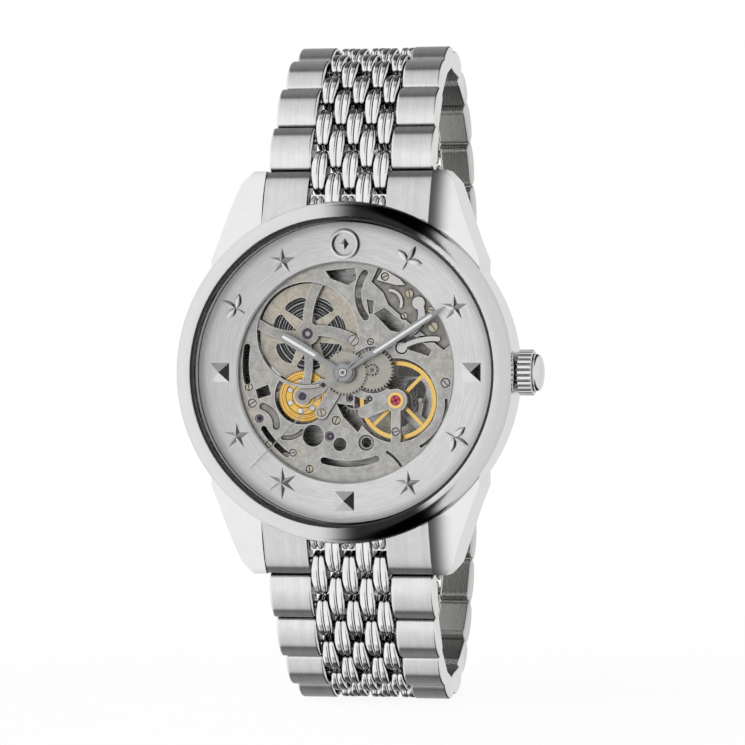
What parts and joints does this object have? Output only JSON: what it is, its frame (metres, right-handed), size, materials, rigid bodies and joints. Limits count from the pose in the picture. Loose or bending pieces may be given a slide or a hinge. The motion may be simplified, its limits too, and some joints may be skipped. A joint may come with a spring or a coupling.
{
  "type": "skeleton wristwatch",
  "caption": "Round steel automatic wristwatch with an open-worked movement behind an annular dial, on a linked steel bracelet with a folding clasp.",
  "frame": {"origin": "on the axis of the hands, at the outer face of the case back", "axes": "+Z to 12 o'clock, +X to 3 o'clock and the crown, -Y out of the dial, +Y out of the case back"},
  "size_m": [0.0429, 0.045, 0.0788],
  "materials": {
    "satin_steel": "satin brushed",
    "polished_steel": "polished",
    "dial_silver": "sunburst brushed",
    "crystal": "clear",
    "plate_nickel": "fine grained nickel plate",
    "wheel_nickel": "polished nickel",
    "gold": "gilt",
    "spring_steel": "dark spring steel",
    "jewel": "polished ruby",
    "hand_steel": "polished",
    "rubber": "matt"
  },
  "bodies": {
    "watch_head": {"case_middle": "polished_steel", "bezel": "polished_steel", "crystal": "crystal", "case_back": "polished_steel", "back_crystal": "crystal", "gaskets": "rubber", "dial_ring": "dial_silver", "hour_markers": "polished_steel", "main_plate": "plate_nickel", "movement_bridge": "plate_nickel", "balance_cock": "plate_nickel", "hairspring": "spring_steel", "jewels": "jewel", "screws": "wheel_nickel", "setting_levers": "plate_nickel", "end_link_upper": "satin_steel", "end_link_lower": "satin_steel"},
    "minute_train": {"centre_wheel": "wheel_nickel", "minute_hand": "hand_steel"},
    "hour_train": {"hour_wheel": "wheel_nickel", "hour_hand": "hand_steel"},
    "seconds_train": {"fourth_wheel": "wheel_nickel", "seconds_hand": "hand_steel"},
    "minute_wheel": {"minute_wheel": "wheel_nickel"},
    "barrel": {"barrel": "wheel_nickel", "mainspring": "spring_steel"},
    "third_wheel": {"third_wheel": "wheel_nickel"},
    "escape_wheel": {"escape_wheel": "wheel_nickel"},
    "pallet_fork": {"pallet_fork": "wheel_nickel"},
    "balance": {"balance_wheel": "gold"},
    "ratchet": {"ratchet_wheel": "wheel_nickel"},
    "rotor": {"rotor": "plate_nickel"},
    "reverser": {"reverser_wheel": "gold"},
    "stem": {"winding_stem": "wheel_nickel"},
    "crown": {"crown": "polished_steel"},
    "clasp_cover": {"clasp_cover": "satin_steel"},
    "blade_outer": {"clasp_blade_outer": "polished_steel"},
    "blade_inner": {"clasp_blade_inner": "polished_steel"},
    "button_left": {"clasp_button_left": "polished_steel"},
    "button_right": {"clasp_button_right": "polished_steel"},
    "upper_row_01": {"upper_row_01": "satin_steel"},
    "upper_row_02": {"upper_row_02": "satin_steel"},
    "upper_row_03": {"upper_row_03": "satin_steel"},
    "upper_row_04": {"upper_row_04": "satin_steel"},
    "upper_row_05": {"upper_row_05": "satin_steel"},
    "upper_row_06": {"upper_row_06": "satin_steel"},
    "upper_row_07": {"upper_row_07": "satin_steel"},
    "upper_row_08": {"upper_row_08": "satin_steel"},
    "upper_row_09": {"upper_row_09": "satin_steel"},
    "upper_row_10": {"upper_row_10": "satin_steel"},
    "lower_row_01": {"lower_row_01": "satin_steel"},
    "lower_row_02": {"lower_row_02": "satin_steel"},
    "lower_row_03": {"lower_row_03": "satin_steel"},
    "lower_row_04": {"lower_row_04": "satin_steel"},
    "lower_row_05": {"lower_row_05": "satin_steel"},
    "lower_row_06": {"lower_row_06": "satin_steel"},
    "lower_row_07": {"lower_row_07": "satin_steel"},
    "lower_row_08": {"lower_row_08": "satin_steel"},
    "lower_row_09": {"lower_row_09": "satin_steel"},
    "lower_row_10": {"lower_row_10": "satin_steel"}
  },
  "joints": [
    {"name": "minute_turn", "type": "hinge", "parent": "watch_head", "child": "minute_train", "pos_m": [0, -0.007, 0], "axis": [0, -1, 0], "continuous": true},
    {"name": "barrel_turn", "type": "hinge", "parent": "watch_head", "child": "barrel", "pos_m": [-0.0047, -0.0058, 0.00455], "axis": [0, -1, 0], "continuous": true},
    {"name": "third_turn", "type": "hinge", "parent": "watch_head", "child": "third_wheel", "pos_m": [0.00223, -0.0046, 0.00223], "axis": [0, -1, 0], "continuous": true},
    {"name": "seconds_turn", "type": "hinge", "parent": "watch_head", "child": "seconds_train", "pos_m": [0, -0.0065, 0], "axis": [0, -1, 0], "continuous": true},
    {"name": "escape_turn", "type": "hinge", "parent": "watch_head", "child": "escape_wheel", "pos_m": [0.00045, -0.005, -0.003], "axis": [0, -1, 0], "continuous": true},
    {"name": "minute_wheel_turn", "type": "hinge", "parent": "watch_head", "child": "minute_wheel", "pos_m": [0.0032, -0.0079, 0.0003], "axis": [0, -1, 0], "continuous": true},
    {"name": "hour_turn", "type": "hinge", "parent": "watch_head", "child": "hour_train", "pos_m": [0, -0.0085, 0], "axis": [0, -1, 0], "continuous": true},
    {"name": "pallet_rock", "type": "hinge", "parent": "watch_head", "child": "pallet_fork", "pos_m": [0.00275, -0.0056, -0.0031], "axis": [0, -1, 0], "range_deg": [-6, 6]},
    {"name": "balance_swing", "type": "hinge", "parent": "watch_head", "child": "balance", "pos_m": [0.0059, -0.0061, -0.00325], "axis": [0, -1, 0], "range_deg": [-270, 270]},
    {"name": "rotor_turn", "type": "hinge", "parent": "watch_head", "child": "rotor", "pos_m": [0, -0.0026, 0], "axis": [0, -1, 0], "continuous": true},
    {"name": "reverser_turn", "type": "hinge", "parent": "watch_head", "child": "reverser", "pos_m": [-0.0053, -0.004, -0.0028], "axis": [0, -1, 0], "continuous": true},
    {"name": "ratchet_turn", "type": "hinge", "parent": "watch_head", "child": "ratchet", "pos_m": [-0.0047, -0.0045, 0.00455], "axis": [0, -1, 0], "continuous": true},
    {"name": "stem_pull", "type": "slide", "parent": "watch_head", "child": "stem", "axis": [1, 0, 0], "range_m": [0, 0.0009]},
    {"name": "crown_turn", "type": "hinge", "parent": "stem", "child": "crown", "pos_m": [0.0215, -0.0052, 0], "axis": [1, 0, 0], "continuous": true},
    {"name": "upper_pin_01", "type": "hinge", "parent": "watch_head", "child": "upper_row_01", "pos_m": [0, -0.0049, 0.02214], "axis": [1, 0, 0], "range_deg": [0, 7]},
    {"name": "upper_pin_02", "type": "hinge", "parent": "upper_row_01", "child": "upper_row_02", "pos_m": [0, -0.00254, 0.02744], "axis": [1, 0, 0], "range_deg": [0, 13]},
    {"name": "upper_pin_03", "type": "hinge", "parent": "upper_row_02", "child": "upper_row_03", "pos_m": [0, 0.0007, 0.03225], "axis": [1, 0, 0], "range_deg": [0, 19]},
    {"name": "upper_pin_04", "type": "hinge", "parent": "upper_row_03", "child": "upper_row_04", "pos_m": [0, 0.00515, 0.03598], "axis": [1, 0, 0], "range_deg": [0, 24]},
    {"name": "upper_pin_05", "type": "hinge", "parent": "upper_row_04", "child": "upper_row_05", "pos_m": [0, 0.01063, 0.03786], "axis": [1, 0, 0], "range_deg": [0, 30]},
    {"name": "upper_pin_06", "type": "hinge", "parent": "upper_row_05", "child": "upper_row_06", "pos_m": [0, 0.01637, 0.03706], "axis": [1, 0, 0], "range_deg": [0, 24]},
    {"name": "upper_pin_07", "type": "hinge", "parent": "upper_row_06", "child": "upper_row_07", "pos_m": [0, 0.02145, 0.03424], "axis": [1, 0, 0], "range_deg": [0, 23]},
    {"name": "upper_pin_08", "type": "hinge", "parent": "upper_row_07", "child": "upper_row_08", "pos_m": [0, 0.02525, 0.02987], "axis": [1, 0, 0], "range_deg": [0, 17]},
    {"name": "upper_pin_09", "type": "hinge", "parent": "upper_row_08", "child": "upper_row_09", "pos_m": [0, 0.02788, 0.0247], "axis": [1, 0, 0], "range_deg": [0, 11]},
    {"name": "upper_pin_10", "type": "hinge", "parent": "upper_row_09", "child": "upper_row_10", "pos_m": [0, 0.02977, 0.01922], "axis": [1, 0, 0], "range_deg": [0, 12]},
    {"name": "lower_pin_01", "type": "hinge", "parent": "watch_head", "child": "lower_row_01", "pos_m": [0, -0.0049, -0.02214], "axis": [-1, 0, 0], "range_deg": [0, 7]},
    {"name": "lower_pin_02", "type": "hinge", "parent": "lower_row_01", "child": "lower_row_02", "pos_m": [0, -0.00254, -0.02744], "axis": [-1, 0, 0], "range_deg": [0, 13]},
    {"name": "lower_pin_03", "type": "hinge", "parent": "lower_row_02", "child": "lower_row_03", "pos_m": [0, 0.0007, -0.03225], "axis": [-1, 0, 0], "range_deg": [0, 19]},
    {"name": "lower_pin_04", "type": "hinge", "parent": "lower_row_03", "child": "lower_row_04", "pos_m": [0, 0.00515, -0.03598], "axis": [-1, 0, 0], "range_deg": [0, 24]},
    {"name": "lower_pin_05", "type": "hinge", "parent": "lower_row_04", "child": "lower_row_05", "pos_m": [0, 0.01063, -0.03786], "axis": [-1, 0, 0], "range_deg": [0, 30]},
    {"name": "lower_pin_06", "type": "hinge", "parent": "lower_row_05", "child": "lower_row_06", "pos_m": [0, 0.01637, -0.03706], "axis": [-1, 0, 0], "range_deg": [0, 24]},
    {"name": "lower_pin_07", "type": "hinge", "parent": "lower_row_06", "child": "lower_row_07", "pos_m": [0, 0.02145, -0.03424], "axis": [-1, 0, 0], "range_deg": [0, 23]},
    {"name": "lower_pin_08", "type": "hinge", "parent": "lower_row_07", "child": "lower_row_08", "pos_m": [0, 0.02525, -0.02987], "axis": [-1, 0, 0], "range_deg": [0, 17]},
    {"name": "lower_pin_09", "type": "hinge", "parent": "lower_row_08", "child": "lower_row_09", "pos_m": [0, 0.02788, -0.0247], "axis": [-1, 0, 0], "range_deg": [0, 11]},
    {"name": "lower_pin_10", "type": "hinge", "parent": "lower_row_09", "child": "lower_row_10", "pos_m": [0, 0.02977, -0.01922], "axis": [-1, 0, 0], "range_deg": [0, 12]},
    {"name": "cover_hinge", "type": "hinge", "parent": "upper_row_10", "child": "clasp_cover", "pos_m": [0, 0.03078, 0.0135], "axis": [1, 0, 0], "range_deg": [0, 45]},
    {"name": "outer_blade_hinge", "type": "hinge", "parent": "clasp_cover", "child": "blade_outer", "pos_m": [0, 0.03123, -0.01137], "axis": [1, 0, 0], "range_deg": [0, 88]},
    {"name": "inner_blade_hinge", "type": "hinge", "parent": "blade_outer", "child": "blade_inner", "pos_m": [0, 0.03115, 0.0089], "axis": [-1, 0, 0], "range_deg": [0, 104]},
    {"name": "button_right_press", "type": "slide", "parent": "clasp_cover", "child": "button_right", "axis": [-1, 0, 0], "range_m": [0, 0.0005], "stiffness_N_per_m": 800},
    {"name": "button_left_press", "type": "slide", "parent": "clasp_cover", "child": "button_left", "axis": [1, 0, 0], "range_m": [0, 0.0005], "stiffness_N_per_m": 800}
  ],
  "couplings": [
    {"joint": "barrel_turn", "follows": "minute_turn", "ratio": -0.12987},
    {"joint": "third_turn", "follows": "minute_turn", "ratio": -8},
    {"joint": "seconds_turn", "follows": "minute_turn", "ratio": 60},
    {"joint": "escape_turn", "follows": "minute_turn", "ratio": -720},
    {"joint": "minute_wheel_turn", "follows": "minute_turn", "ratio": -0.33333},
    {"joint": "hour_turn", "follows": "minute_turn", "ratio": 0.083333},
    {"joint": "reverser_turn", "follows": "rotor_turn", "ratio": -1.5}
  ]
}
